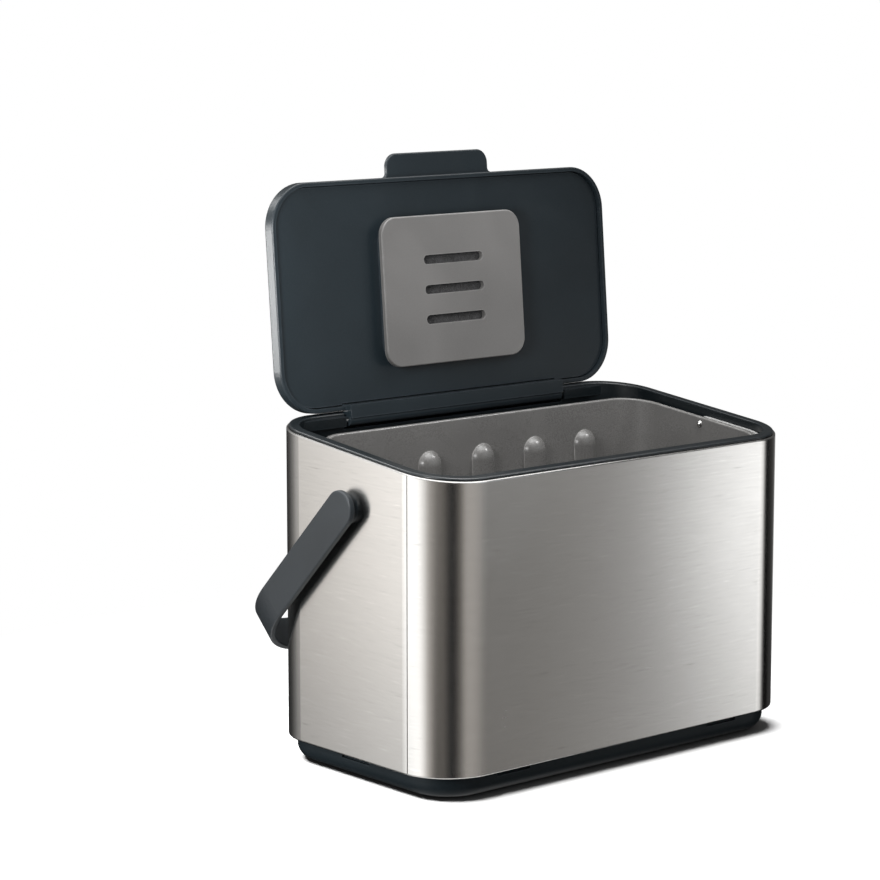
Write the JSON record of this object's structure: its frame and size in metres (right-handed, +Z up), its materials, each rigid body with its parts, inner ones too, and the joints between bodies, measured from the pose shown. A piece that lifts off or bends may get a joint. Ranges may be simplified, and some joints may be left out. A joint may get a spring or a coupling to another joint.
{
  "type": "food waste bin",
  "caption": "Worktop food waste bin with a brushed steel body, hinged lid with an odour filter, swinging carry handle and a lift-out bucket with a bail.",
  "frame": {"origin": "on the table, under the middle of the steel body", "axes": "+X to the right along the front, +Y to the hinge at the back, +Z up"},
  "size_m": [0.274, 0.1659, 0.3197],
  "materials": {
    "brushed_steel": "brushed lengthwise round the body, satin",
    "anthracite_plastic": "fine-grained moulded polypropylene",
    "handle_plastic": "satin moulded polypropylene",
    "grey_plastic": "satin moulded polypropylene",
    "bucket_plastic": "satin moulded polypropylene",
    "light_plastic": "satin moulded polypropylene",
    "filter_felt": "needled felt with active carbon",
    "foot_rubber": "soft matt rubber",
    "bright_steel": "drawn and polished"
  },
  "bodies": {
    "body": {"outer_shell": "brushed_steel", "top_rim": "anthracite_plastic", "base_tray": "anthracite_plastic", "hinge_pin": "bright_steel", "handle_bush_left": "anthracite_plastic", "handle_bush_right": "anthracite_plastic", "base_foot_1": "foot_rubber", "base_foot_2": "foot_rubber", "base_foot_3": "foot_rubber", "base_foot_4": "foot_rubber"},
    "lid": {"lid_cover": "anthracite_plastic", "lid_liner": "anthracite_plastic"},
    "filter": {"filter_cover": "grey_plastic", "carbon_filter": "filter_felt"},
    "bucket": {"inner_bucket": "bucket_plastic", "bail_rivet_left": "bright_steel", "bail_rivet_right": "bright_steel"},
    "bail": {"bucket_bail": "light_plastic"},
    "handle": {"carry_handle": "handle_plastic", "handle_pin_left": "bright_steel", "handle_pin_right": "bright_steel", "handle_clip_left": "bright_steel", "handle_clip_right": "bright_steel"}
  },
  "joints": [
    {"name": "lid_hinge", "type": "hinge", "parent": "body", "child": "lid", "pos_m": [0, 0.0658, 0.17835], "axis": [1, 0, 0], "range_deg": [0, 101]},
    {"name": "handle_swing", "type": "hinge", "parent": "body", "child": "handle", "pos_m": [0, 0.0006, 0.14548], "axis": [1, 0, 0], "range_deg": [0, 85]},
    {"name": "bucket_lift", "type": "slide", "parent": "body", "child": "bucket", "axis": [0, 0, 1], "range_m": [0, 0.185]},
    {"name": "bail_swing", "type": "hinge", "parent": "bucket", "child": "bail", "pos_m": [0, -0.0096, 0.16568], "axis": [-1, 0, 0], "range_deg": [0, 95]},
    {"name": "filter_tilt", "type": "hinge", "parent": "lid", "child": "filter", "pos_m": [0, 0.068, 0.20944], "axis": [1, 0, 0], "range_deg": [0, 38]}
  ]
}
